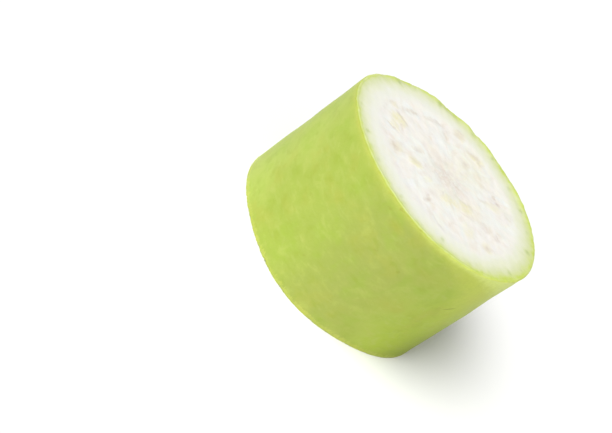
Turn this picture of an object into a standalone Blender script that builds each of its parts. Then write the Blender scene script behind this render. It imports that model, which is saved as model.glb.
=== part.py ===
"""A thick slice cut straight across a bottle gourd, standing on its lower cut face.

Units are metres and +Z is up. The lower cut lies in the plane z = 0 and the origin is the middle of
the slice's footprint. The gourd grew as one piece, so the slice is one solid: a length of the
slightly tapering, slightly out-of-round fruit between two knife cuts.
"""

import math

import bmesh
import bpy
from mathutils import Vector

RADIUS = 0.042                      # mean radius of the fruit half way up the slice
THICKNESS = 0.052                   # between the two cuts, measured on the fruit's axis
TAPER = 0.004                       # growth of the radius from the lower cut to the upper, as a share of it
AXIS_LEAN = (0.048, -0.002)         # how far the fruit's axis drifts along X and Y per metre of height
UPPER_CUT_SLOPE = (0.028, -0.051)   # rise of the upper cut per metre along X and Y, from a knife held askew
RIM_ROUNDING = 0.0004               # the soft edge that a knife leaves on wet rind

# Shallow swellings that run the length of the fruit. Each row holds how many there are round the slice,
# their height at the lower and at the upper cut as a share of the radius, and where round the slice
# the first one stands at each cut, in degrees from +X towards +Y.
SWELLINGS = (
    (3, 0.002, 0.009, 21.0, 57.0),
    (4, 0.0075, 0.0085, -4.0, 8.0),
    (5, 0.012, 0.003, -18.0, -28.0),
)

SEGMENTS = 120                      # sides round the slice
ROWS = 9                            # bands of faces up its side
SPARE = 0.008                       # length beyond each cut that the knife takes off
SHARP_ANGLE = math.radians(35)      # edges that turn by more than this are drawn as edges

SKIN_COLOUR = (0.50, 0.63, 0.115, 1.0)
FLESH_COLOUR = (0.88, 0.90, 0.80, 1.0)
SKIN_ROUGHNESS = 0.42
FLESH_ROUGHNESS = 0.55
FLESH_SLOT = 1                      # the second of the slice's two material slots; the skin has the first


def clear_scene():
    for thing in list(bpy.data.objects):
        bpy.data.objects.remove(thing, do_unlink=True)


def make_material(name, colour, roughness):
    material = bpy.data.materials.new(name)
    material.use_nodes = True
    shader = material.node_tree.nodes["Principled BSDF"]
    shader.inputs["Base Color"].default_value = colour
    shader.inputs["Roughness"].default_value = roughness
    shader.inputs["Metallic"].default_value = 0.0
    material.diffuse_color = colour
    return material


def fruit_radius(angle, share_up):
    """Distance from the fruit's axis to its skin. share_up is 0 at the lower cut and 1 at the upper."""
    radius = RADIUS * (1 + TAPER * (share_up - 0.5))
    swelling = 0.0
    for count, low_height, high_height, low_start, high_start in SWELLINGS:
        low = low_height * math.cos(count * (angle - math.radians(low_start)))
        high = high_height * math.cos(count * (angle - math.radians(high_start)))
        swelling += low + (high - low) * share_up
    return radius * (1 + swelling)


def grow_fruit(mesh):
    """A length of the fruit, longer than the slice by SPARE at each end."""
    bmesh.ops.create_cone(
        mesh,
        cap_ends=True,
        segments=SEGMENTS,
        radius1=RADIUS,
        radius2=RADIUS,
        depth=THICKNESS + 2 * SPARE,
    )
    upright = [edge for edge in mesh.edges if abs(edge.verts[0].co.z - edge.verts[1].co.z) > SPARE]
    bmesh.ops.subdivide_edges(mesh, edges=upright, cuts=ROWS - 1, use_grid_fill=True)
    for vert in mesh.verts:
        angle = math.atan2(vert.co.y, vert.co.x)
        height = vert.co.z
        radius = fruit_radius(angle, height / THICKNESS + 0.5)
        vert.co.x = radius * math.cos(angle) + AXIS_LEAN[0] * height
        vert.co.y = radius * math.sin(angle) + AXIS_LEAN[1] * height
        vert.co.z = height + THICKNESS / 2


def knife_cut(mesh, point, away):
    """Takes off what lies past a plane, on the side that away points to, and closes the cut."""
    everything = list(mesh.verts) + list(mesh.edges) + list(mesh.faces)
    cut = bmesh.ops.bisect_plane(
        mesh, geom=everything, plane_co=point, plane_no=away, clear_outer=True
    )
    rim = [part for part in cut["geom_cut"] if isinstance(part, bmesh.types.BMEdge)]
    bmesh.ops.edgeloop_fill(mesh, edges=rim)


def cut_faces(mesh):
    """The two faces that the knife left: the only ones with more than four corners."""
    return [face for face in mesh.faces if len(face.verts) > 4]


def round_rims(mesh):
    """Rounds the two edges where a cut face meets the skin."""
    rims = {edge for face in cut_faces(mesh) for edge in face.edges}
    bmesh.ops.bevel(
        mesh,
        geom=list(rims),
        offset=RIM_ROUNDING,
        segments=2,
        profile=0.5,
        affect="EDGES",
        clamp_overlap=True,
    )


def stand_on_origin(mesh):
    """Moves the slice sideways until the origin is the middle of its footprint."""
    across = [vert.co.x for vert in mesh.verts]
    along = [vert.co.y for vert in mesh.verts]
    middle = Vector(((min(across) + max(across)) / 2, (min(along) + max(along)) / 2, 0.0))
    bmesh.ops.translate(mesh, verts=mesh.verts, vec=-middle)


def make_slice(collection):
    mesh = bmesh.new()
    grow_fruit(mesh)
    knife_cut(mesh, Vector((0, 0, 0)), Vector((0, 0, -1)))
    upper_normal = Vector((-UPPER_CUT_SLOPE[0], -UPPER_CUT_SLOPE[1], 1)).normalized()
    knife_cut(mesh, Vector((0, 0, THICKNESS)), upper_normal)
    round_rims(mesh)
    stand_on_origin(mesh)
    for face in cut_faces(mesh):
        face.material_index = FLESH_SLOT
    bmesh.ops.recalc_face_normals(mesh, faces=mesh.faces)

    data = bpy.data.meshes.new("gourd_slice")
    mesh.to_mesh(data)
    mesh.free()
    data.materials.append(make_material("gourd_skin", SKIN_COLOUR, SKIN_ROUGHNESS))
    data.materials.append(make_material("gourd_flesh", FLESH_COLOUR, FLESH_ROUGHNESS))
    data.shade_smooth()
    data.set_sharp_from_angle(angle=SHARP_ANGLE)
    gourd = bpy.data.objects.new("gourd_slice", data)
    collection.objects.link(gourd)
    return gourd


def main():
    clear_scene()
    parts = bpy.data.collections.new("bottle_gourd")
    bpy.context.scene.collection.children.link(parts)
    make_slice(parts)


main()
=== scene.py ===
"""The looks of a thick slice of bottle gourd: green rind, moist pale flesh and soft seeds in the pulp.

The slice stands on its lower cut face. Its shape is read from the CAD solid and rebuilt as one closed,
finer mesh with the small unevenness of a real fruit. The camera lies on its side, so that the standing
slice shows in the picture as a leaning one. Lengths are in metres unless a name says otherwise, +Z is up.
"""

import math

import bmesh
import bpy
import numpy as np
from mathutils import Matrix, Vector
from mathutils.bvhtree import BVHTree


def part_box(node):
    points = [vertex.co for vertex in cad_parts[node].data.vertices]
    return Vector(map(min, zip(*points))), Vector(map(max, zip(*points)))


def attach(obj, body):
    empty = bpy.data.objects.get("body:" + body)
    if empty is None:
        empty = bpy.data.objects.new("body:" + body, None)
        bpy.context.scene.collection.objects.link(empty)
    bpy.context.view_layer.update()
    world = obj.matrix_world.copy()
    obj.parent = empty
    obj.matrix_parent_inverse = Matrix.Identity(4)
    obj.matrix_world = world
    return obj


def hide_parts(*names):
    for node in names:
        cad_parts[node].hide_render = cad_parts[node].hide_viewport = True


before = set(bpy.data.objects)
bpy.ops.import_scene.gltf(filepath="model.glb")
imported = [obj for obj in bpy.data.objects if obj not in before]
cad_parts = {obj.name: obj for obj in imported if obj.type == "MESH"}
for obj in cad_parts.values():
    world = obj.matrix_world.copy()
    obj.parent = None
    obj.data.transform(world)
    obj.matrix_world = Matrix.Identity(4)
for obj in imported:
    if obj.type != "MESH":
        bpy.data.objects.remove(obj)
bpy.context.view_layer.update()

MM = 0.001
NODE = "gourd_slice"

# The mesh: columns round the slice, the spacing of its rings, and the columns left at a cut's middle
COLUMNS = 640
SIDE_ROWS = 46
UPPER_STEP = 0.45 * MM
LOWER_STEP = 0.9 * MM
RIM_STEPS = 4
CENTRE_COLUMNS = 20
# The slice's radius in round numbers, for places that needn't follow the rind exactly
ROUGH_RADIUS = 42 * MM

# How the CAD solid is measured: at which shares of its height, how nearly straight up a face of its upper
# cut looks, and how many waves round the slice are kept of its outline
MEASURED_AT = (0.15, 0.8)
LOOKS_UP = 0.995
SHAPE_HARMONICS = 8

# The rims: the knife leaves a small rounding, a burr that rises and falls, and one torn stretch
UPPER_ROUNDING, UPPER_ROUNDING_MIN = 0.6 * MM, 0.15 * MM
LOWER_ROUNDING, LOWER_ROUNDING_MIN = 0.25 * MM, 0.12 * MM
RIM_UNEVENNESS = 0.12 * MM
# Degrees round the upper rim, and how far the knife left the rim above its plane there, in mm
BURR = (
    (0, 0), (35, 0.05), (50, 0.3), (60, 0.42), (68, 0.1), (78, 0.08), (84, 0.34), (90, 0.2), (95, -0.12),
    (100, 0.45), (104, 0.1), (110, -0.4), (114, -0.42), (119, 0.15), (123, 0.25), (132, 0.05),
    (140, -0.25), (147, -0.45), (152, 0.02), (157, 0.03), (162, -0.15), (168, 0.08), (176, 0.1), (185, 0),
    (210, 0.04), (235, -0.05), (262, 0.06), (290, -0.04), (320, 0.05), (345, -0.03),
)
BURR_SMOOTHING = 3  # columns to either side
FINE_BURR = 0.07 * MM
# How far in from the rim the flesh still rises with the burr and with the fine burr
BURR_DEPTH, FINE_BURR_DEPTH = 3.5 * MM, 1 * MM
TORN_FROM, TORN_TO = -178, -70  # degrees round the lower rim
TORN_DEPTH, UNTORN_DEPTH = 0.32 * MM, 0.12 * MM
# The torn fibres there: how many, how long and wide, how far they bend up, and how far they lean sideways
SHREDS = 60
SHRED_LENGTH = 0.45 * MM, 0.95 * MM
SHRED_WIDTH = 0.22 * MM, 0.42 * MM
SHRED_BEND = -0.02 * MM, 0.25 * MM
SHRED_LEAN = -0.9, 0.9

# Relief of the rind: large swellings, a fine ripple, and how near a rim both die out
RIND_SWELLING, RIND_RIPPLE = 0.09 * MM, 0.012 * MM
RIND_CALM = 3 * MM

# Relief of the cut faces in mm: how far the pulp lies below the knife's plane, how much further its
# stains sink and how far its seeds rise again, its roughness, and the waves and strokes of the knife
PULP_SUNK, STAIN_SUNK, SEED_RISE = 0.13, 0.09, 0.11
PULP_ROUGH, PULP_FINE = 0.035, 0.01
KNIFE_WAVE, KNIFE_STROKE = 0.02, 0.01
STROKE_SPACING = 3.6 * MM
RELIEF_TOP = 0.08 * MM
RELIEF_STARTS = 1.5 * MM  # depth below the rind

# Inside the fruit, as depths below the rind
PULP_STARTS = 9 * MM
PULP_FULL = 13 * MM
# Veins that run up the fruit under the rind: degrees round the slice, mm below the rind, and strength
VEINS = (
    (-155, 2.2, 0.3), (-136, 3.8, 0.75), (-118, 3.2, 0.3), (-97, 3.6, 0.4), (-81, 2, 0.15),
    (-68, 4.6, 0.5), (-50, 2.4, 0.25), (-36, 2.8, 0.15), (-17, 3.2, 0.6), (-4, 2.4, 0.25),
    (16, 3.2, 0.85), (33, 3, 0.3), (48, 3, 0.8), (62, 3.8, 0.4), (81, 2.2, 0.7), (97, 2.4, 0.45),
    (121, 2.6, 0.75), (139, 2.4, 0.3), (152, 2.8, 0.8), (170, 2.4, 0.25), (190, 2.8, 0.15),
)
VEIN_HALO = (5.4, 3.4)  # mm inwards, and mm along the rind
VEIN_DOT = (2.1, 1.9)

# Seeds in the upper cut: mm right of its middle, mm beyond it, length and width in mm, heading in
# degrees, and how yellow they are from 0 to 1
SEEDS = (
    (-24.6, -1.6, 7.5, 6, 50, 1),
    (-24, -6.6, 5, 4, 90, 0.65),
    (3, 27, 8.5, 6, 38, 0.9),
    (5.4, 21, 8, 3.4, 105, 0.5),
    (-7.4, 29.6, 6, 6, 60, 0.55),
    (12.2, -5.4, 8, 6, 45, 0.95),
    (6.4, -11.6, 10.5, 4.8, 45, 0.85),
    (-10.4, -13.2, 6.5, 5, 30, 0.9),
    (-17.6, -16, 4, 5.5, 20, 0.4),
    (-3, -14, 5.5, 3.4, 85, 0.45),
    (17.6, -15.6, 8.5, 6, 100, 0.45),
    (18.4, 12.6, 12, 4, 55, 0.5),
    (1.8, 15.4, 12, 4.2, 88, 0.4),
    (14.6, 2, 6, 4, 80, 0.3),
    (26.4, -13, 6, 5, 65, 0.4),
    (-29, 3.8, 3.6, 3, 60, 0.5),
    (-2, 6.4, 8, 3.6, 80, 0.3),
    (-13, 5, 6.5, 4, 120, 0.15),
    (-18, -24, 7, 4.4, 50, 0.2),
    (9, -26, 7.5, 4, 110, 0.2),
    (4, 18, 28, 17, 95, 0.35),
    (9, -9, 24, 11, 45, 0.3),
)
# Beige to brown streaks in the pulp: mm right, mm beyond, length and width in mm, heading, strength
STAINS = (
    (0.8, -1.4, 21, 18, 10, 0.5),
    (1.4, -1.4, 13, 11, 10, 0.64),
    (-3.4, 6.4, 9, 4, 112, 0.42),
    (3.4, 5.4, 9, 3.4, 66, 0.36),
    (-7.4, -1, 8, 5, 160, 0.42),
    (-6, -6, 7, 3, 50, 0.35),
    (6.4, -2.6, 7, 4, -20, 0.35),
    (-7.8, 29.6, 6.5, 5, 75, 0.55),
    (1, 27.4, 7.5, 2.4, 40, 0.5),
    (5.4, 28, 4, 2.4, 10, 0.35),
    (-14.8, 23, 8, 2.4, 62, 0.62),
    (-11.4, 20.6, 6.5, 2.2, -52, 0.6),
    (-18.6, 18.2, 6.5, 2, 58, 0.5),
    (-24.4, 10.6, 9, 2.6, 55, 0.65),
    (-26, 6.5, 5, 2.6, 95, 0.45),
    (-30, 3, 3, 2.6, 20, 0.5),
    (-31.2, -1.6, 7, 2.6, 100, 0.3),
    (-24.6, 1.2, 7, 1.8, -10, 0.6),
    (-21.6, -3.2, 6, 1.6, 110, 0.5),
    (-24.4, -8.8, 6, 1.5, 4, 0.9),
    (-18.4, -17.2, 5.6, 4, 108, 0.75),
    (-13.2, -5.2, 7, 2.6, 48, 0.6),
    (-11, -12.6, 5.5, 2, 30, 0.35),
    (1, -23, 5.4, 2.6, 82, 0.85),
    (3.6, -11, 6, 1.8, 75, 0.45),
    (1.8, 17.6, 5, 3.4, 100, 0.5),
    (4.2, 12, 5, 2.4, 60, 0.35),
    (17.6, 17.4, 6.4, 3.8, 25, 0.85),
    (24.4, 17.6, 6, 4, 70, 0.4),
    (15, 9.8, 5.5, 2.2, 50, 0.35),
    (22, -2.6, 5.6, 3.4, 60, 0.6),
    (26.6, -1, 9, 2.2, 80, 0.5),
    (26.4, -12.6, 6, 3.6, 70, 0.55),
    (12.6, -21.6, 5.6, 3, 95, 0.5),
    (9.4, -29.4, 9, 2, -12, 0.4),
    (13.6, -8.8, 7, 1.4, 30, 0.35),
    (9.4, -4, 7, 1.4, 50, 0.3),
)
LOWER_CUT_TURN = 137  # degrees between the two cuts' patterns of seeds

# Marks on the rind: degrees round the slice, mm up from the lower cut, mm round, mm up, strength
RIND_MARKS = (
    (-90.5, 53.3, 2.2, 1, 0.36),
    (-98.5, 53.2, 1.5, 0.9, 0.2),
    (-94, 50.3, 2.2, 1.3, 0.28),
    (-69.5, 37.2, 1.3, 1, 0.2),
    (-83.5, 37, 1.8, 1.2, 0.15),
    (-79, 54, 1.6, 0.9, 0.2),
    (-122, 26.6, 2, 1.4, 0.12),
    (-77.5, 11.5, 1.8, 1.2, 0.14),
    (-100.5, 14.5, 1.6, 1.2, 0.12),
    (40, 30, 0.9, 0.7, 0.5),
    (95, 18, 1, 0.8, 0.5),
    (150, 36, 0.8, 0.7, 0.5),
    (-168, 14, 0.9, 0.9, 0.2),
)
# Large faint tints of ochre, placed as the marks are
RIND_TINTS = (
    (-86, 48, 11, 6, 0.28),
    (-62, 43, 12, 6, 0.14),
    (-88, 33, 14, 8, 0.12),
    (-58, 24, 16, 9, 0.12),
    (60, 22, 16, 9, 0.15),
)
# Large darker green spots, placed as the marks are: painted shade low on the +X side by the floor, and a
# darker patch
PAINTED_SHADE_AND_PATCHES = (
    (-10, 3, 50, 60, 0.72),
    (128, 40, 30, 16, 0.25),
)
SCRATCH = (-33, 34.2, 4.6, 0.4, 0.7)
SCRATCH_SLANT = 28  # degrees
MARK_REACH = 16  # mm through the rind, at least

# Camera: how high above the cut face's plane it looks from, how far it is turned about its own axis, how
# far away it is, and where the slice's middle lies in its view, right of the view's middle and above it
ELEVATION = 31.03
ROLL = -52.13
DISTANCE = 0.5867
SLICE_RIGHT = 29.5 * MM
SLICE_UP = 1.4 * MM
LENS_MM = 101.9
SENSOR_MM = 36

# Studio: a white tent that is brighter on one side, and one soft lamp
FLOOR_SIZE = 6.0
FLOOR_COLOUR = (0.97, 0.97, 0.966, 1)
TENT_COLOUR = (1, 0.997, 0.976, 1)
TENT_BRIGHT_SIDE = (0.2, -0.88, 0.43)
TENT_DIM_AT, TENT_BRIGHT_AT = -0.05, 0.9
TENT_DIM, TENT_BRIGHT = 0.03, 0.45
LAMP_FROM = (-0.26, -0.38, 0.89)
LAMP_STRENGTH = 3.13
LAMP_SOFTNESS = 42


def srgb(red, green, blue):
    """A colour as a picture's 0 to 255 values, turned into the linear values that shaders take."""
    linear = []
    for value in (red, green, blue):
        share = value / 255
        linear.append(share / 12.92 if share <= 0.04045 else ((share + 0.055) / 1.055) ** 2.4)
    return (*linear, 1.0)


# Colours. The rind from its left side to its right, as (place from 0 to 1, colour)
# Partly painted light: lighter towards the right, where the lamp leaves the rind in shade, and less blue
# at the right end to damp a pale reflection
RIND_TONE_AND_SHADE_RAMP = (
    (0.0, srgb(178, 196, 88)),
    (0.05, srgb(178, 195, 91)),
    (0.19, srgb(175, 189, 92)),
    (0.43, srgb(178, 190, 97)),
    (0.68, srgb(182, 193, 96)),
    (0.90, srgb(186, 203, 92)),
    (1.0, srgb(184, 204, 76)),
)
# Painted sheen: the pale green of a grazing reflection along the rind's far left edge
PAINTED_SHEEN_PALE = srgb(205, 222, 118)
RIND_OLIVE, RIND_FRESH = srgb(189, 193, 88), srgb(170, 197, 76)
BLOTCH_DARK, BLOTCH_PALE = srgb(162, 181, 64), srgb(195, 207, 108)
FLECK_PALE = srgb(204, 213, 126)
# Ochre for the tints; dark green for the painted shade by the floor and for the darker patch
TINT_OCHRE, SHADE_AND_PATCH_GREEN = srgb(188, 172, 66), srgb(138, 154, 24)
RIND_GRAIN = srgb(160, 178, 70)
MARK_BROWN, SCRATCH_DARK = srgb(154, 146, 50), srgb(112, 124, 44)
# The rind's brim below the upper cut, plain, and bright with painted light towards the right side
WIDE_BRIM_PLAIN_AND_LIT = srgb(204, 212, 98), srgb(222, 232, 106)
INNER_BRIM_PLAIN_AND_LIT = srgb(199, 207, 102), srgb(240, 254, 144)
# Painted shade for the rounded upper rim, and ochre for the brim
PAINTED_RIM_SHADE, BRIM_OCHRE = srgb(156, 170, 72), srgb(190, 182, 62)
TORN_PALE = srgb(212, 217, 110)

# Down through the flesh, as (share of FLESH_RAMP_DEPTH, colour)
FLESH_RAMP_DEPTH = 12 * MM
FLESH_RAMP = (
    (0.0, srgb(204, 220, 104)),
    (0.04, srgb(212, 225, 128)),
    (0.10, srgb(219, 228, 157)),
    (0.19, srgb(225, 231, 183)),
    (0.34, srgb(236, 239, 209)),
    (0.58, srgb(243, 244, 229)),
    (1.0, srgb(247, 246, 238)),
)
# The line where the flesh meets the rind; its near side is darkened, painted shade that dims the rounded
# rim's highlight
LIP_AND_RIM_SHADE = srgb(213, 233, 114), srgb(189, 203, 100)  # far side, near side
VEIN_HALO_GREEN, VEIN_DOT_GREEN = srgb(202, 216, 138), srgb(166, 186, 96)
PULP_BLUSH, PULP_PALE, PULP_BEIGE = srgb(251, 245, 237), srgb(248, 249, 242), srgb(237, 227, 212)
PULP_FIBRE = srgb(251, 250, 244)
SEED_YELLOW, STAIN_BEIGE = srgb(243, 238, 203), srgb(214, 201, 184)
FLESH_GRAIN = srgb(220, 222, 205)


# ---- shape, read from the CAD solid


def smooth_round(values):
    """Values taken all the way round, without the flats between the CAD solid's corners."""
    spectrum = np.fft.rfft(values)
    spectrum[SHAPE_HARMONICS + 1:] = 0
    return np.fft.irfft(spectrum, len(values))


class SliceShape:
    """The rind's radius and the upper cut's height, measured on the CAD solid.

    The rind's radius changes evenly with height, so two heights give all of it.
    """

    def __init__(self, solid, height):
        self.angles = np.linspace(0, 2 * math.pi, COLUMNS, endpoint=False)
        self.cosines, self.sines = np.cos(self.angles), np.sin(self.angles)
        tree = BVHTree.FromPolygons(
            [vert.co for vert in solid.data.vertices],
            [tuple(face.vertices) for face in solid.data.polygons],
        )
        low, high = (share * height for share in MEASURED_AT)
        low_radius = smooth_round(self.measure(tree, low))
        high_radius = smooth_round(self.measure(tree, high))
        self.growth = (high_radius - low_radius) / (high - low)
        self.foot_radius = low_radius - low * self.growth
        self.measure_upper_cut(solid)

    def measure(self, tree, height):
        """Distance from the origin's upright line to the rind, all the way round."""
        radii = []
        outside = 1.0
        for cosine, sine in zip(self.cosines, self.sines):
            start = Vector((outside * cosine, outside * sine, height))
            hit = tree.ray_cast(start, Vector((-cosine, -sine, 0)))[0]
            radii.append(hit.xy.length)
        return np.array(radii)

    def measure_upper_cut(self, solid):
        """The plane of the faces that look almost straight up."""
        normal = Vector((0, 0, 0))
        for face in solid.data.polygons:
            if face.normal.z > LOOKS_UP:
                normal += face.normal * face.area
                point = solid.data.vertices[face.vertices[0]].co
        self.slope_x, self.slope_y = -normal.x / normal.z, -normal.y / normal.z
        self.cut_height = point.z - self.slope_x * point.x - self.slope_y * point.y

    def radius(self, height):
        """Distance from the origin's upright line to the rind at a height, all the way round."""
        return self.foot_radius + self.growth * height

    def upper_cut(self, x, y):
        """Height of the knife's plane."""
        return self.cut_height + self.slope_x * x + self.slope_y * y

    def rim_height(self):
        """Height at which the rind meets the upper cut, all the way round."""
        slope = self.slope_x * self.cosines + self.slope_y * self.sines
        return (self.cut_height + slope * self.foot_radius) / (1 - slope * self.growth)

    def middle(self, height):
        """The middle of the slice at a height, as x and y."""
        radius = self.radius(height)
        x, y = radius * self.cosines, radius * self.sines
        return (x.max() + x.min()) / 2, (y.max() + y.min()) / 2


# ---- small unevenness


def waves(points, size, seed, count=28):
    """A smooth field of about -1 to 1 with hills about size apart: sine waves in random directions."""
    random = np.random.default_rng(seed)
    directions = random.normal(size=(count, 3))
    directions /= np.linalg.norm(directions, axis=1, keepdims=True)
    lengths = size * random.uniform(0.7, 1.7, (count, 1))
    phases = random.uniform(0, 2 * math.pi, count)
    return np.sin(points @ (directions * 2 * math.pi / lengths).T + phases).sum(1) / math.sqrt(count)


def smoothstep(low, high, value):
    """0 up to low, 1 from high on, and a soft step between them."""
    share = np.clip((value - low) / (high - low), 0, 1)
    return share * share * (3 - 2 * share)


def rim_points(shape):
    """Points of a plain circle about as big as the rims, where noise along the rims is read."""
    return np.stack([shape.cosines, shape.sines, np.zeros(COLUMNS)], 1) * ROUGH_RADIUS


def burr(shape):
    """Height of the upper rim above the knife's plane, all the way round."""
    degrees, rise = np.array(BURR).T
    height = np.interp(np.degrees(shape.angles), degrees, rise, period=360) * MM
    shifts = range(-BURR_SMOOTHING, BURR_SMOOTHING + 1)
    return np.stack([np.roll(height, shift) for shift in shifts]).mean(0)


def fine_burr(shape):
    """Small ragged rises of the upper rim, which reach no further than its edge."""
    return FINE_BURR * waves(rim_points(shape), 2.2 * MM, seed=8)


def torn_share(shape):
    """1 along the torn stretch of the lower rim, and 0 elsewhere."""
    middle, half = (TORN_FROM + TORN_TO) / 2, (TORN_TO - TORN_FROM) / 2
    away = np.abs((np.degrees(shape.angles) - middle + 180) % 360 - 180)
    return 1 - smoothstep(0.7 * half, 1.1 * half, away)


def upper_rounding(shape):
    """Radius of the upper rim's rounding, all the way round."""
    rim = rim_points(shape)
    uneven = waves(rim, 4 * MM, seed=3) + 0.6 * waves(rim, 1.8 * MM, seed=9)
    return np.maximum(UPPER_ROUNDING + RIM_UNEVENNESS * uneven, UPPER_ROUNDING_MIN)


def lower_rounding(shape):
    """Radius of the lower rim's rounding, all the way round. It is ragged where the rim is torn."""
    rim = rim_points(shape)
    ragged = 0.7 * waves(rim, 2.6 * MM, seed=5) + waves(rim, 1.2 * MM, seed=6)
    tear = (UNTORN_DEPTH + TORN_DEPTH * torn_share(shape)) * np.clip(ragged, -0.3, 1.3)
    uneven = RIM_UNEVENNESS * waves(rim, 4 * MM, seed=4)
    return np.maximum(LOWER_ROUNDING + uneven + tear, LOWER_ROUNDING_MIN)


def ellipse_distance(x, y, mark):
    """Distance from the middle of a mark (x, y, length, width, heading, strength), 1 at its edge."""
    middle_x, middle_y, long, wide, heading, _ = mark
    angle = math.radians(heading)
    along = ((x - middle_x) * math.cos(angle) + (y - middle_y) * math.sin(angle)) / (long / 2)
    across = ((y - middle_y) * math.cos(angle) - (x - middle_x) * math.sin(angle)) / (wide / 2)
    return np.sqrt(along ** 2 + across ** 2)


def marks_at(x, y, marks, soft_from, soft_to):
    """The strongest of the marks at each point, 0 where there is none. x and y are in mm."""
    strongest = np.zeros_like(x)
    for mark in marks:
        cover = mark[-1] * (1 - smoothstep(soft_from, soft_to, ellipse_distance(x, y, mark)))
        strongest = np.maximum(strongest, cover)
    return strongest


class CutFace:
    """The flesh that one knife cut lays open: its seeds, its stains and its relief.

    The same fruit's seeds show in both cuts. The pattern is turned between them, and mirrored, because
    the two cuts are seen from opposite ends.
    """

    def __init__(self, middle, turn, mirror, seed):
        self.middle, self.turn, self.mirror, self.seed = middle, turn, mirror, seed

    def pattern_place(self, x, y):
        """Where a point of the cut lies in the pattern of seeds, in mm, pulled about a little."""
        local_x = (x - self.middle[0]) / MM * self.mirror
        local_y = (y - self.middle[1]) / MM
        cosine, sine = math.cos(self.turn), math.sin(self.turn)
        across = local_x * cosine - local_y * sine
        beyond = local_x * sine + local_y * cosine
        points = np.stack([x, y, np.full_like(x, 0.1 * self.seed)], 1)
        return across + self.pull(points, self.seed), beyond + self.pull(points, self.seed + 2)

    def pull(self, points, seed):
        """How far the pattern is pulled about at each point, in mm."""
        return 0.6 * (0.9 * waves(points, 5 * MM, seed) + 0.35 * waves(points, 1.8 * MM, seed + 1))

    def seeds(self, x, y):
        """How yellow each point is with seed, from 0 to 1."""
        return marks_at(*self.pattern_place(x, y), SEEDS, 0.35, 1.4)

    def stains(self, x, y):
        """How stained each point is, from 0 to 1."""
        return marks_at(*self.pattern_place(x, y), STAINS, 0.1, 1.5)

    def relief(self, x, y, depth):
        """Height of the flesh above the knife's plane: the pulp sinks in a little, its seeds less."""
        points = np.stack([x, y, np.full_like(x, 0.1 * self.seed)], 1)
        pulp = smoothstep(PULP_STARTS, PULP_FULL, depth)
        sunk = PULP_SUNK + STAIN_SUNK * self.stains(x, y) - SEED_RISE * self.seeds(x, y)
        rough = PULP_ROUGH * waves(points, 5 * MM, self.seed + 4)
        rough += PULP_FINE * waves(points, 2.2 * MM, self.seed + 5)
        stroke = 0.8 * x + 0.6 * y + 1.5 * MM * waves(points, 30 * MM, self.seed + 6)
        knife = KNIFE_WAVE * waves(points, 9 * MM, self.seed + 7)
        knife += KNIFE_STROKE * np.sin(stroke * 2 * math.pi / STROKE_SPACING)
        height = (pulp * (rough - sunk) + knife) * MM
        return np.minimum(height, RELIEF_TOP) * smoothstep(0, RELIEF_STARTS, depth)


def rind_relief(points):
    """Gentle dents and swellings of the rind, and a finer ripple that runs round the fruit."""
    stretched = points * (0.3, 0.3, 1.0)
    ripple = RIND_RIPPLE * waves(stretched, 2.4 * MM, seed=12)
    return RIND_SWELLING * waves(points, 17 * MM, seed=11) + ripple


# ---- the slice's mesh


RIND, UPPER_CUT, LOWER_CUT = range(3)  # material slots


class RingMesh:
    """A closed mesh made of rings of points, with a material slot and named values for each ring."""

    def __init__(self):
        self.points, self.faces, self.slots = [], [], []
        self.values = {name: [] for name in ("depth", "edge", "seed", "stain")}
        self.total = 0
        self.last = None

    def add_points(self, points, **values):
        """Adds points and returns their numbers. A value that isn't given is 0."""
        count = len(points)
        self.points.append(points)
        for name, kept in self.values.items():
            kept.append(np.broadcast_to(values.get(name, 0.0), count))
        self.total += count
        return list(range(self.total - count, self.total))

    def add_face(self, corners, slot):
        """Adds a face with a material slot."""
        self.faces.append(tuple(corners))
        self.slots.append(slot)

    def add_ring(self, points, slot, **values):
        """Adds a ring and joins it to the one before. A first ring is closed with a face."""
        ring = self.add_points(points, **values)
        if self.last is None:
            self.add_face(ring, slot)
        else:
            for corners in bridge(self.last, ring):
                self.add_face(corners, slot)
        self.last = ring

    def close(self, slot):
        """Closes the last ring with a face, so that the next ring starts a new form."""
        self.add_face(self.last, slot)
        self.last = None

    def build(self, name):
        """Makes the object."""
        mesh = bpy.data.meshes.new(name)
        mesh.from_pydata(np.concatenate(self.points).tolist(), [], self.faces)
        mesh.polygons.foreach_set("material_index", self.slots)
        for key, kept in self.values.items():
            attribute = mesh.attributes.new(key, "FLOAT", "POINT")
            attribute.data.foreach_set("value", np.concatenate(kept).astype(np.float32))
        turn_faces_out(mesh)
        mesh.shade_smooth()
        piece = bpy.data.objects.new(name, mesh)
        bpy.context.scene.collection.objects.link(piece)
        return piece


def bridge(first, second):
    """Faces between two closed rings of vertex numbers. One ring may have twice as many as the other."""
    faces = []
    if len(first) == len(second):
        for here in range(len(first)):
            after = (here + 1) % len(first)
            faces.append((first[here], first[after], second[after], second[here]))
        return faces
    many, few = (first, second) if len(first) > len(second) else (second, first)
    for here in range(len(few)):
        after = (here + 1) % len(few)
        left, middle, right = many[2 * here], many[2 * here + 1], many[(2 * here + 2) % len(many)]
        faces += [(left, middle, few[here]), (middle, few[after], few[here]), (middle, right, few[after])]
    return faces


def turn_faces_out(mesh):
    """Turns every face's front away from the flesh."""
    work = bmesh.new()
    work.from_mesh(mesh)
    bmesh.ops.recalc_face_normals(work, faces=work.faces)
    work.to_mesh(mesh)
    work.free()


def face_rings(step):
    """A cut face's rings from the rim in, as (share of the radius, columns). Columns halve on the way."""
    rings = []
    share = 1 - step / ROUGH_RADIUS
    while share > 0.7 * step / ROUGH_RADIUS:
        columns = COLUMNS
        while columns > CENTRE_COLUMNS and share < 0.52 * columns / COLUMNS:
            columns //= 2
        rings.append((share, columns))
        share -= step / ROUGH_RADIUS
    return rings


def on_the_round(shape, radius, height, columns=COLUMNS):
    """Points round the slice's upright line, at a radius and a height for each column."""
    every = COLUMNS // columns
    return np.stack([radius * shape.cosines[::every], radius * shape.sines[::every], height], 1)


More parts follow.
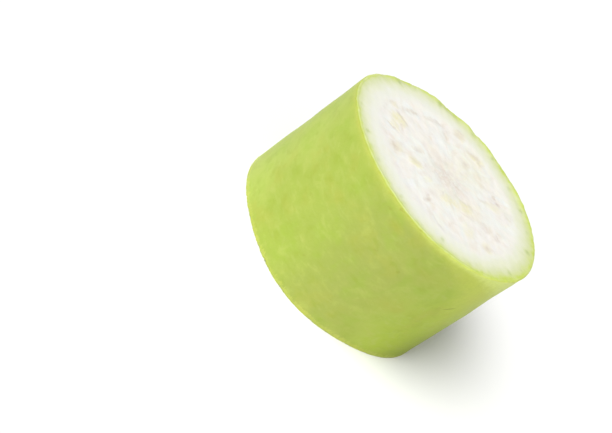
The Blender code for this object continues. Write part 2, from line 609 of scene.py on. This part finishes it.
def add_lower_cut(mesh, shape, face):
    """The lower cut, from its middle out to where the rim starts to round."""
    rim_radius = shape.radius(0) - lower_rounding(shape)
    for share, columns in reversed(face_rings(LOWER_STEP)):
        outer = rim_radius[::COLUMNS // columns]
        flat = on_the_round(shape, share * outer, np.zeros(columns), columns)
        x, y, depth = flat[:, 0], flat[:, 1], (1 - share) * outer
        flat[:, 2] = np.maximum(0, -face.relief(x, y, depth))
        mesh.add_ring(flat, LOWER_CUT, depth=depth, seed=face.seeds(x, y), stain=face.stains(x, y))


def add_lower_rim(mesh, shape):
    """The rounding between the lower cut and the rind, half of it of each."""
    rounding = lower_rounding(shape)
    for step in range(RIM_STEPS + 1):
        turn = math.pi / 2 * step / RIM_STEPS
        radius = shape.radius(0) - rounding * (1 - math.sin(turn))
        height = rounding * (1 - math.cos(turn))
        slot = LOWER_CUT if step <= RIM_STEPS // 2 else RIND
        below = shape.rim_height() - height
        depth = rounding * (1 - math.sin(turn))
        mesh.add_ring(on_the_round(shape, radius, height), slot, depth=depth, edge=below)


def add_rind(mesh, shape):
    """The rind between the two rims' roundings."""
    low, high = lower_rounding(shape), upper_rounding(shape)
    top = shape.rim_height() + burr(shape) + fine_burr(shape)
    for row in range(1, SIDE_ROWS):
        height = low + (top - high - low) * row / SIDE_ROWS
        radius = shape.radius(height)
        relief = rind_relief(on_the_round(shape, radius, height))
        free = smoothstep(0, RIND_CALM, height) * smoothstep(0, RIND_CALM, top - height)
        points = on_the_round(shape, radius + relief * free, height)
        mesh.add_ring(points, RIND, edge=top - height)


def add_upper_rim(mesh, shape):
    """The rounding between the rind and the upper cut, half of it of each."""
    rounding = upper_rounding(shape)
    top = shape.rim_height()
    rise = burr(shape) + fine_burr(shape)
    for step in range(RIM_STEPS + 1):
        turn = math.pi / 2 * step / RIM_STEPS
        radius = shape.radius(top) - rounding * (1 - math.cos(turn))
        height = shape.upper_cut(radius * shape.cosines, radius * shape.sines) + rise
        below = rounding * (1 - math.sin(turn))
        slot = RIND if step <= RIM_STEPS // 2 else UPPER_CUT
        depth = rounding * (1 - math.cos(turn))
        mesh.add_ring(on_the_round(shape, radius, height - below), slot, depth=depth, edge=below)


def add_upper_cut(mesh, shape, face):
    """The upper cut, from the rim in to its middle."""
    rim_radius = shape.radius(shape.rim_height()) - upper_rounding(shape)
    rise, ragged = burr(shape), fine_burr(shape)
    for share, columns in face_rings(UPPER_STEP):
        outer = rim_radius[::COLUMNS // columns]
        flat = on_the_round(shape, share * outer, np.zeros(columns), columns)
        x, y, depth = flat[:, 0], flat[:, 1], (1 - share) * outer
        flat[:, 2] = shape.upper_cut(x, y) + face.relief(x, y, depth)
        flat[:, 2] += rise[::COLUMNS // columns] * (1 - smoothstep(0, BURR_DEPTH, depth))
        flat[:, 2] += ragged[::COLUMNS // columns] * (1 - smoothstep(0, FINE_BURR_DEPTH, depth))
        mesh.add_ring(flat, UPPER_CUT, depth=depth, seed=face.seeds(x, y), stain=face.stains(x, y))
    mesh.close(UPPER_CUT)


def add_shred(mesh, root, along, length, width, bend):
    """A tapering torn fibre from root, which leaves in the direction along and bends upwards."""
    side = along.cross(Vector((0, 0, 1))).normalized() * width / 2
    thick = Vector((0, 0, width * 0.35))
    for step in range(4):
        share = step / 4
        middle = root + along * length * share + Vector((0, 0, bend * share ** 2))
        size = 1 - share ** 1.5
        corners = [middle + offset * size for offset in (side, thick, -side, -thick)]
        ring = np.array([tuple(rim_shade) for rim_shade in corners])
        mesh.add_ring(ring, LOWER_CUT, depth=(0.6 + 1.8 * share) * MM)
    mesh.close(LOWER_CUT)


def add_shreds(mesh, shape):
    """Torn fibres that the knife left along the torn stretch of the lower rim."""
    random = np.random.default_rng(21)
    for angle in np.radians(random.uniform(TORN_FROM, TORN_TO, SHREDS)):
        radius = np.interp(angle % (2 * math.pi), shape.angles, shape.foot_radius) - 0.35 * MM
        outward = Vector((math.cos(angle), math.sin(angle), 0))
        lean = random.uniform(*SHRED_LEAN)
        along = (outward + lean * Vector((-outward.y, outward.x, 0))).normalized()
        width = random.uniform(*SHRED_WIDTH)
        root = outward * radius + Vector((0, 0, 0.25 * MM))
        length = random.uniform(*SHRED_LENGTH)
        add_shred(mesh, root, along, length, width, random.uniform(*SHRED_BEND))


def build_slice(shape, upper, lower):
    """The whole slice, closed from the middle of its lower cut to the middle of its upper one."""
    mesh = RingMesh()
    add_lower_cut(mesh, shape, lower)
    add_lower_rim(mesh, shape)
    add_rind(mesh, shape)
    add_upper_rim(mesh, shape)
    add_upper_cut(mesh, shape, upper)
    add_shreds(mesh, shape)
    return mesh.build("cut_gourd")


# ---- materials


class Shader:
    """Builds one material's nodes. Most methods add a node and return its output socket."""

    def __init__(self, name):
        self.material = bpy.data.materials.new(name)
        self.material.use_nodes = True
        self.tree = self.material.node_tree
        self.surface = self.tree.nodes["Principled BSDF"]

    def add(self, kind, **settings):
        """Adds a node and returns it."""
        node = self.tree.nodes.new(kind)
        for name, value in settings.items():
            setattr(node, name, value)
        return node

    def feed(self, socket, value):
        """Gives a socket a number, a colour or another node's output."""
        if isinstance(value, bpy.types.NodeSocket):
            self.tree.links.new(value, socket)
        else:
            socket.default_value = value

    def maths(self, operation, first, second=0.0, third=0.0):
        node = self.add("ShaderNodeMath", operation=operation)
        self.feed(node.inputs[0], first)
        self.feed(node.inputs[1], second)
        self.feed(node.inputs[2], third)
        return node.outputs[0]

    def scale_to(self, value, low, high, new_low=0.0, new_high=1.0):
        """Turns low to high into new_low to new_high with a soft start and end."""
        node = self.add("ShaderNodeMapRange", interpolation_type="SMOOTHSTEP")
        self.feed(node.inputs["Value"], value)
        self.feed(node.inputs["From Min"], low)
        self.feed(node.inputs["From Max"], high)
        self.feed(node.inputs["To Min"], new_low)
        self.feed(node.inputs["To Max"], new_high)
        return node.outputs["Result"]

    def place(self):
        """A point's place in metres."""
        return self.add("ShaderNodeTexCoord").outputs["Object"]

    def attribute(self, name):
        """One of the values that RingMesh keeps for each point."""
        return self.add("ShaderNodeAttribute", attribute_name=name).outputs["Fac"]

    def fitted(self, vector, kind, location=(0, 0, 0), rotation=(0, 0, 0), scale=(1, 1, 1)):
        """The vector moved, turned and scaled; kind TEXTURE does the opposite of kind POINT."""
        node = self.add("ShaderNodeMapping", vector_type=kind)
        self.feed(node.inputs["Vector"], vector)
        node.inputs["Location"].default_value = location
        node.inputs["Rotation"].default_value = rotation
        node.inputs["Scale"].default_value = scale
        return node.outputs["Vector"]

    def vectors(self, operation, first, second=(0, 0, 0), output="Vector"):
        node = self.add("ShaderNodeVectorMath", operation=operation)
        self.feed(node.inputs[0], first)
        self.feed(node.inputs[1], second)
        return node.outputs[output]

    def stretched(self, vector, by):
        """The vector with its length multiplied by a number."""
        node = self.add("ShaderNodeVectorMath", operation="SCALE")
        self.feed(node.inputs[0], vector)
        self.feed(node.inputs["Scale"], by)
        return node.outputs["Vector"]

    def noise(self, vector, size, detail=3.0, roughness=0.55, distortion=0.0):
        """Noise from about 0.25 to 0.75 whose blotches are about size across."""
        node = self.add("ShaderNodeTexNoise")
        self.feed(node.inputs["Vector"], vector)
        node.inputs["Scale"].default_value = 1 / size
        node.inputs["Detail"].default_value = detail
        node.inputs["Roughness"].default_value = roughness
        node.inputs["Distortion"].default_value = distortion
        return node.outputs["Fac"]

    def cells(self, vector, size):
        """Distance to the nearest of many scattered points about size apart."""
        node = self.add("ShaderNodeTexVoronoi")
        self.feed(node.inputs["Vector"], vector)
        node.inputs["Scale"].default_value = 1 / size
        return node.outputs["Distance"]

    def mix(self, share, first, second):
        """The first colour where share is 0, the second where it is 1."""
        node = self.add("ShaderNodeMix", data_type="RGBA")
        self.feed(node.inputs["Factor"], share)
        self.feed(node.inputs["A"], first)
        self.feed(node.inputs["B"], second)
        return node.outputs["Result"]

    def ramp(self, value, stops):
        """A colour for each value, read between stops of (value, colour)."""
        node = self.add("ShaderNodeValToRGB")
        self.feed(node.inputs["Fac"], value)
        band = node.color_ramp.elements
        while len(band) < len(stops):
            band.new(0.5)
        for element, (position, colour) in zip(band, stops):
            element.position = position
            element.color = colour
        return node.outputs["Color"]

    def bump(self, height, strength, distance, below=None):
        """A normal with relief, over another bump's normal if one is given."""
        node = self.add("ShaderNodeBump")
        self.feed(node.inputs["Height"], height)
        node.inputs["Strength"].default_value = strength
        node.inputs["Distance"].default_value = distance
        if below is not None:
            self.feed(node.inputs["Normal"], below)
        return node.outputs["Normal"]

    def spot(self, vector, location, heading, size):
        """Distance from the middle of an ellipsoid of three full sizes, 1 at its surface."""
        halves = tuple(full / 2 for full in size)
        inside = self.fitted(vector, "TEXTURE", location, heading, halves)
        return self.vectors("LENGTH", inside, output="Value")

    def along(self, vector, direction):
        """How far a point lies along a direction."""
        return self.vectors("DOT_PRODUCT", vector, direction, output="Value")


def rind_colours(shader, place):
    """Yellow-green rind: its hue drifts from side to side, partly as painted light, with a painted sheen
    on its left edge, soft mottling and pale flecks.
    """
    side = shader.along(place, (1, 0.25, 0))
    side = shader.maths("MULTIPLY_ADD", shader.noise(place, 25 * MM, 2), 20 * MM, side)
    # Tone from side to side, partly painted light against the lamp's shading
    colour = shader.ramp(shader.scale_to(side, -22 * MM, 42 * MM), RIND_TONE_AND_SHADE_RAMP)
    # Painted sheen: the rind turns paler at its far left edge, as a grazing reflection would make it
    painted_sheen = shader.scale_to(side, -35 * MM, -25 * MM, 0.5, 0)
    colour = shader.mix(painted_sheen, colour, PAINTED_SHEEN_PALE)
    hue = shader.noise(place, 11 * MM, 3, 0.6)
    colour = shader.mix(shader.scale_to(hue, 0.5, 0.70, 0, 0.45), colour, RIND_OLIVE)
    colour = shader.mix(shader.scale_to(hue, 0.5, 0.30, 0, 0.45), colour, RIND_FRESH)
    blotches = shader.noise(shader.fitted(place, "POINT", scale=(0.75, 0.75, 1)), 4.5 * MM, 3, 0.6, 0.3)
    colour = shader.mix(shader.scale_to(blotches, 0.50, 0.28, 0, 0.32), colour, BLOTCH_DARK)
    colour = shader.mix(shader.scale_to(blotches, 0.50, 0.72, 0, 0.48), colour, BLOTCH_PALE)
    around = shader.fitted(place, "POINT", scale=(0.45, 0.45, 1.0))
    flecks = shader.noise(around, 1.9 * MM, 2, 0.5)
    colour = shader.mix(shader.scale_to(flecks, 0.52, 0.76, 0, 0.16), colour, FLECK_PALE)
    return colour, blotches, flecks


def rind_material():
    """Satin rind: mottled green, a paler brim at the upper cut, torn teeth at the lower, marks, painted
    light and shade.
    """
    shader = Shader("gourd_rind")
    place = shader.place()
    colour, blotches, flecks = rind_colours(shader, place)
    colour = add_marks(shader, colour, place, RIND_TINTS, (0.0, 1.0), TINT_OCHRE)
    # Painted shade low on the +X side by the floor, and one darker patch
    colour = add_marks(shader, colour, place, PAINTED_SHADE_AND_PATCHES, (0.0, 1.0), SHADE_AND_PATCH_GREEN)
    colour = add_brim(shader, colour, place)
    colour = add_torn_strip(shader, colour, place)
    grain = shader.noise(place, 0.6 * MM, 2)
    colour = shader.mix(shader.scale_to(grain, 0.3, 0.8, 0, 0.08), colour, RIND_GRAIN)
    colour = add_marks(shader, colour, ragged_place(shader, place), RIND_MARKS, (0.1, 1.3), MARK_BROWN)
    colour = add_marks(shader, colour, place, [SCRATCH], (0.4, 1.3), SCRATCH_DARK, SCRATCH_SLANT)

    surface = shader.surface.inputs
    shader.feed(surface["Base Color"], colour)
    shader.feed(surface["Roughness"], shader.scale_to(blotches, 0.3, 0.7, 0.40, 0.50))
    fine = shader.bump(grain, 0.25, 0.15 * MM)
    shader.feed(surface["Normal"], shader.bump(flecks, 0.2, 0.3 * MM, fine))
    surface["IOR"].default_value = 1.42
    surface["Specular IOR Level"].default_value = 0.1
    surface["Subsurface Weight"].default_value = 0.25
    surface["Subsurface Radius"].default_value = (1.0, 1.0, 0.4)
    surface["Subsurface Scale"].default_value = 1.0 * MM
    return shader.material


def add_marks(shader, colour, place, marks, softness, paint, slant=0):
    """Ovals of another colour on the rind, which fade out between two shares of their size."""
    for mark in marks:
        spot = rind_spot(shader, place, mark, slant)
        colour = shader.mix(shader.scale_to(spot, *softness, mark[-1], 0), colour, paint)
    return colour


def brim_depth(shader, side, patchy, wider_from, wider_to, pace):
    """Depth below the upper cut, wavering, and counted at a slower pace where the brim is wider."""
    slower = shader.scale_to(side, wider_from, wider_to, 1.0, pace)
    depth = shader.maths("MULTIPLY", shader.attribute("edge"), slower)
    return shader.maths("MULTIPLY_ADD", patchy, 1.5 * MM, depth)


def add_brim(shader, colour, place):
    """The rind pales and turns yellower below the upper cut. Towards the right side the band widens and
    brightens: painted light where the rind's top catches it.
    """
    side = shader.along(place, (1, 0, 0))
    patchy = shader.noise(place, 2.2 * MM, 3, 0.6)
    depth = brim_depth(shader, side, patchy, 14 * MM, 37 * MM, 0.12)
    share = shader.scale_to(side, -20 * MM, 34 * MM, 0.38, 0.75)
    wide = shader.maths("MULTIPLY", share, shader.scale_to(depth, 0.2 * MM, 5.2 * MM, 1, 0))
    # Painted light: the brim brightens towards the right side
    lit_side = shader.scale_to(side, -12 * MM, 40 * MM)
    colour = shader.mix(wide, colour, shader.mix(lit_side, *WIDE_BRIM_PLAIN_AND_LIT))
    colour = add_inner_brim(shader, colour, side, patchy)
    ochre = shader.scale_to(shader.noise(place, 1.5 * MM, 3, 0.7), 0.5, 0.68)
    ochre = shader.maths("MULTIPLY", wide, ochre)
    ochre = shader.maths("MULTIPLY", ochre, shader.maths("SUBTRACT", 0.7, lit_side))
    return shader.mix(shader.scale_to(ochre, 0, 0.7, 0, 0.6), colour, BRIM_OCHRE)


def add_inner_brim(shader, colour, side, patchy):
    """The brim's brighter part next to the cut, painted light towards the right side and held back on the
    rounding, and painted shade on the rounding away from the right side, which dims its highlight.
    """
    depth = brim_depth(shader, side, patchy, 22 * MM, 41 * MM, 0.2)
    share = shader.scale_to(side, -20 * MM, 30 * MM, 0.6, 0.95)
    inner = shader.maths("MULTIPLY", share, shader.scale_to(depth, 0.9 * MM, 3.0 * MM, 1, 0))
    edge = shader.attribute("edge")
    inner = shader.maths("MULTIPLY", inner, shader.scale_to(edge, 0, 0.7 * MM, 0.1, 1))
    lit_side = shader.scale_to(side, 0, 44 * MM)
    colour = shader.mix(inner, colour, shader.mix(lit_side, *INNER_BRIM_PLAIN_AND_LIT))
    # Painted shade on the rounded rim, dimming the highlight where it faces the lamp
    rim_shade = shader.scale_to(edge, 0.15 * MM, 0.8 * MM, 0.35, 0)
    rim_shade = shader.maths("MULTIPLY", rim_shade, shader.scale_to(side, 0, 34 * MM, 1, 0))
    return shader.mix(rim_shade, colour, PAINTED_RIM_SHADE)


def add_torn_strip(shader, colour, place):
    """Pale yellow teeth where the knife tore the rind along the lower cut."""
    height = shader.along(place, (0, 0, 1))
    teeth = shader.noise(shader.fitted(place, "POINT", scale=(1, 1, 0.3)), 0.9 * MM, 3, 0.7)
    top = shader.scale_to(teeth, 0.35, 0.68, 0.9 * MM, 2.2 * MM)
    above = shader.maths("SUBTRACT", height, top)
    strip = shader.scale_to(above, -0.5 * MM, 0.5 * MM, 0.56, 0)
    patchy = shader.scale_to(shader.noise(place, 9 * MM, 2), 0.35, 0.6, 0.6, 1.0)
    return shader.mix(shader.maths("MULTIPLY", strip, patchy), colour, TORN_PALE)


def ragged_place(shader, place):
    """Coordinates pulled about by fine noise, so that an oval drawn in them has an uneven edge."""
    tug = shader.maths("SUBTRACT", shader.noise(place, 1.0 * MM, 3, 0.7), 0.5)
    return shader.vectors("ADD", place, shader.stretched((3.0 * MM, -3.0 * MM, 2.4 * MM), tug))


def rind_spot(shader, place, mark, slant):
    """Distance from the middle of an oval on the rind, 1 at its edge. slant turns it, in degrees."""
    degrees, height, wide, tall, _ = mark
    angle = math.radians(degrees)
    heading = Matrix.Rotation(angle, 3, "Z") @ Matrix.Rotation(math.radians(slant), 3, "X")
    location = (ROUGH_RADIUS * math.cos(angle), ROUGH_RADIUS * math.sin(angle), height * MM)
    size = (max(MARK_REACH, wide) * MM, wide * MM, tall * MM)
    return shader.spot(place, location, heading.to_euler(), size)


def flesh_depth(shader, place, outward):
    """Depth below the rind, wavering, and counted slower where the green reaches in further."""
    far_side = shader.along(outward, (0.75, 0.66, 0))
    slower = shader.scale_to(far_side, -0.4, 0.8, 1.0, 0.72)
    depth = shader.maths("MULTIPLY", shader.attribute("depth"), slower)
    near_side = shader.along(outward, (-0.6, -0.8, 0))
    depth = shader.maths("ADD", depth, shader.scale_to(near_side, 0.1, 0.8, 0, 0.75 * MM))
    depth = shader.maths("MULTIPLY_ADD", shader.noise(place, 5 * MM, 2, 0.5), 3.4 * MM, depth)
    depth = shader.maths("MULTIPLY_ADD", shader.noise(place, 1.8 * MM, 2, 0.55), 1.2 * MM, depth)
    return shader.maths("SUBTRACT", depth, 2.25 * MM)


def add_veins(shader, colour, flat, middle):
    """The ends of the veins under the rind: small dark green clumps in soft green haloes."""
    tug = shader.maths("SUBTRACT", shader.noise(flat, 1.1 * MM, 2), 0.5)
    pull = shader.vectors("MULTIPLY", shader.vectors("NORMALIZE", flat), (2.2 * MM, -2.2 * MM, 0))
    uneven = shader.vectors("ADD", flat, shader.stretched(pull, tug))
    for index, (degrees, deep, strength) in enumerate(VEINS):
        angle = math.radians(degrees)
        away = ROUGH_RADIUS - deep * MM
        location = (middle[0] + away * math.cos(angle), middle[1] + away * math.sin(angle), 0)
        grow = (0.8 + 0.5 * strength + 0.2 * math.sin(4 * index)) * MM
        halo = shader.spot(uneven, location, (0, 0, angle), (VEIN_HALO[0] * grow, VEIN_HALO[1] * grow, 1))
        colour = shader.mix(shader.scale_to(halo, 0, 1, 0.55 * strength, 0), colour, VEIN_HALO_GREEN)
        dot = shader.spot(uneven, location, (0, 0, angle), (VEIN_DOT[0] * grow, VEIN_DOT[1] * grow, 1))
        colour = shader.mix(shader.scale_to(dot, 0, 1.3, 0.42 * strength, 0), colour, VEIN_DOT_GREEN)
    return colour


def pulp_colours(shader, colour, flat, outward):
    """Mottled pulp: pinkish and bluish white lobes, and pale fibres that run outwards and cross."""
    pulp = shader.maths("MULTIPLY_ADD", shader.noise(flat, 6 * MM, 3), 7 * MM, shader.attribute("depth"))
    pulp = shader.scale_to(pulp, PULP_STARTS + 2 * MM, PULP_FULL + 3 * MM)

    lobe = shader.noise(radial_place(shader, flat, outward, 0.7, 12.5 * MM), 1.0, 3, 0.5, 0.6)
    streak = shader.noise(radial_place(shader, flat, outward, 0.7, 7 * MM), 1.0, 2, 0.45, 0.8)
    strand = shader.noise(radial_place(shader, flat, outward, 0.5, 9 * MM), 1.0, 1, 0.4, 1.0)

    blush = shader.maths("MULTIPLY", pulp, shader.scale_to(lobe, 0.38, 0.62, 0.1, 0.95))
    colour = shader.mix(blush, colour, PULP_BLUSH)
    pale = shader.maths("MULTIPLY", pulp, shader.scale_to(lobe, 0.50, 0.38, 0, 0.95))
    colour = shader.mix(pale, colour, PULP_PALE)
    beige = shader.maths("MULTIPLY", pulp, shader.scale_to(streak, 0.50, 0.74, 0, 0.5))
    colour = shader.mix(beige, colour, PULP_BEIGE)
    ridge = shader.maths("ABSOLUTE", shader.maths("SUBTRACT", strand, 0.5))
    fibre = shader.maths("MULTIPLY", pulp, shader.scale_to(ridge, 0.0, 0.1, 0.3, 0))
    return shader.mix(fibre, colour, PULP_FIBRE), streak


def radial_place(shader, flat, outward, spokes, size):
    """Coordinates in which noise stretches outwards. More spokes fit a turn as spokes grows."""
    around = shader.vectors("MULTIPLY", outward, (spokes, spokes, 0))
    return shader.vectors("ADD", around, shader.vectors("MULTIPLY", flat, (1 / size, 1 / size, 0)))


def add_lip(shader, colour, outward):
    """The narrow green line where the flesh meets the rind. It is darker and stronger on the near side:
    painted shade that dims the rounded rim's highlight.
    """
    near_side = shader.scale_to(shader.along(outward, (-0.35, -0.94, 0)), -0.2, 0.7)
    lip = shader.scale_to(shader.attribute("depth"), 0, 0.9 * MM, 1, 0)
    lip = shader.maths("MULTIPLY", lip, shader.scale_to(near_side, 0, 1, 0.45, 0.8))
    return shader.mix(lip, colour, shader.mix(near_side, *LIP_AND_RIM_SHADE))


def add_seeds(shader, colour, place):
    """Yellowish seeds and beige stains, broken up by fine speckle."""
    speckle = shader.noise(place, 1.6 * MM, 4, 0.65)
    seed_grain = shader.scale_to(speckle, 0.32, 0.62, 0.45, 1.0)
    seed = shader.maths("MULTIPLY", shader.attribute("seed"), seed_grain)
    colour = shader.mix(seed, colour, SEED_YELLOW)
    stain_grain = shader.scale_to(speckle, 0.66, 0.34, 0.3, 0.9)
    stain = shader.maths("MULTIPLY", shader.attribute("stain"), stain_grain)
    return shader.mix(stain, colour, STAIN_BEIGE)


def flesh_material(name, middle):
    """Moist flesh: green under the rind, then pale, then mottled pulp with its seeds and stains."""
    shader = Shader(name)
    place = shader.place()
    flat = shader.vectors("MULTIPLY", place, (1, 1, 0))
    from_middle = shader.vectors("SUBTRACT", flat, (*middle, 0))
    outward = shader.vectors("NORMALIZE", from_middle)

    depth = shader.maths("DIVIDE", flesh_depth(shader, place, outward), FLESH_RAMP_DEPTH)
    colour = shader.ramp(depth, FLESH_RAMP)
    colour = add_lip(shader, colour, outward)
    colour = add_veins(shader, colour, flat, middle)
    colour, streak = pulp_colours(shader, colour, from_middle, outward)
    colour = add_seeds(shader, colour, place)
    grain = shader.noise(place, 0.6 * MM, 3, 0.6)
    colour = shader.mix(shader.scale_to(grain, 0.35, 0.75, 0.0, 0.05), colour, FLESH_GRAIN)

    surface = shader.surface.inputs
    shader.feed(surface["Base Color"], colour)
    shader.feed(surface["Roughness"], shader.scale_to(grain, 0.3, 0.7, 0.34, 0.5))
    coarse = shader.bump(shader.cells(place, 0.9 * MM), 0.03, 0.12 * MM)
    strands = shader.bump(streak, 0.05, 0.25 * MM, coarse)
    shader.feed(surface["Normal"], shader.bump(grain, 0.08, 0.12 * MM, strands))
    surface["IOR"].default_value = 1.38
    surface["Subsurface Weight"].default_value = 0.5
    surface["Subsurface Radius"].default_value = (1.0, 0.95, 0.7)
    surface["Subsurface Scale"].default_value = 1.0 * MM
    return shader.material


def floor_material():
    """Matt white paper."""
    shader = Shader("studio_floor")
    shader.surface.inputs["Base Color"].default_value = FLOOR_COLOUR
    shader.surface.inputs["Roughness"].default_value = 0.8
    shader.surface.inputs["Specular IOR Level"].default_value = 0.1
    return shader.material


# ---- the studio


def build_floor():
    """A plain white floor under the slice."""
    bpy.ops.mesh.primitive_plane_add(size=FLOOR_SIZE)
    floor = bpy.context.object
    floor.name = "studio_floor"
    floor.data.materials.append(floor_material())


def build_tent():
    """White all round the slice, brighter on one side, so that the other side's edge stays dark."""
    world = bpy.data.worlds.new("studio")
    world.use_nodes = True
    tree = world.node_tree
    direction = tree.nodes.new("ShaderNodeTexCoord").outputs["Generated"]
    toward = tree.nodes.new("ShaderNodeVectorMath")
    toward.operation = "DOT_PRODUCT"
    toward.inputs[1].default_value = TENT_BRIGHT_SIDE
    tree.links.new(direction, toward.inputs[0])
    level = tree.nodes.new("ShaderNodeMapRange")
    level.inputs["From Min"].default_value = TENT_DIM_AT
    level.inputs["From Max"].default_value = TENT_BRIGHT_AT
    level.inputs["To Min"].default_value = TENT_DIM
    level.inputs["To Max"].default_value = TENT_BRIGHT
    tree.links.new(toward.outputs["Value"], level.inputs["Value"])
    background = tree.nodes["Background"]
    background.inputs["Color"].default_value = TENT_COLOUR
    tree.links.new(level.outputs["Result"], background.inputs["Strength"])
    bpy.context.scene.world = world


def add_lamp():
    """One large soft lamp above."""
    light = bpy.data.lights.new("lamp", "SUN")
    light.energy = LAMP_STRENGTH
    light.angle = math.radians(LAMP_SOFTNESS)
    lamp = bpy.data.objects.new("lamp", light)
    lamp.rotation_euler = Vector(LAMP_FROM).to_track_quat("Z", "Y").to_euler()
    bpy.context.scene.collection.objects.link(lamp)


def place_camera(centre):
    """The camera, turned about its own axis so that the standing slice leans in the picture."""
    camera = bpy.data.cameras.new("camera")
    camera.lens = LENS_MM
    camera.sensor_width = SENSOR_MM
    camera.clip_start = 0.01
    upright = Matrix.Rotation(math.radians(90 - ELEVATION), 4, "X")
    axes = upright @ Matrix.Rotation(math.radians(-ROLL), 4, "Z")
    eye = bpy.data.objects.new("camera", camera)
    middle = centre - axes.to_3x3() @ Vector((SLICE_RIGHT, SLICE_UP, -DISTANCE))
    eye.matrix_world = Matrix.Translation(middle) @ axes
    bpy.context.scene.collection.objects.link(eye)
    bpy.context.scene.camera = eye


def main():
    """Builds the slice and the studio."""
    low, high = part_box(NODE)

    shape = SliceShape(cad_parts[NODE], high.z)
    upper_middle, lower_middle = shape.middle(high.z), shape.middle(0)
    upper = CutFace(upper_middle, turn=0, mirror=1, seed=20)
    lower = CutFace(lower_middle, math.radians(LOWER_CUT_TURN), mirror=-1, seed=40)
    piece = build_slice(shape, upper, lower)
    piece.data.materials.append(rind_material())
    piece.data.materials.append(flesh_material("upper_cut", upper_middle))
    piece.data.materials.append(flesh_material("lower_cut", lower_middle))
    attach(piece, "root")
    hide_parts(NODE)

    build_floor()
    build_tent()
    add_lamp()
    place_camera((low + high) / 2)
    bpy.context.scene.view_settings.view_transform = "Standard"


main()
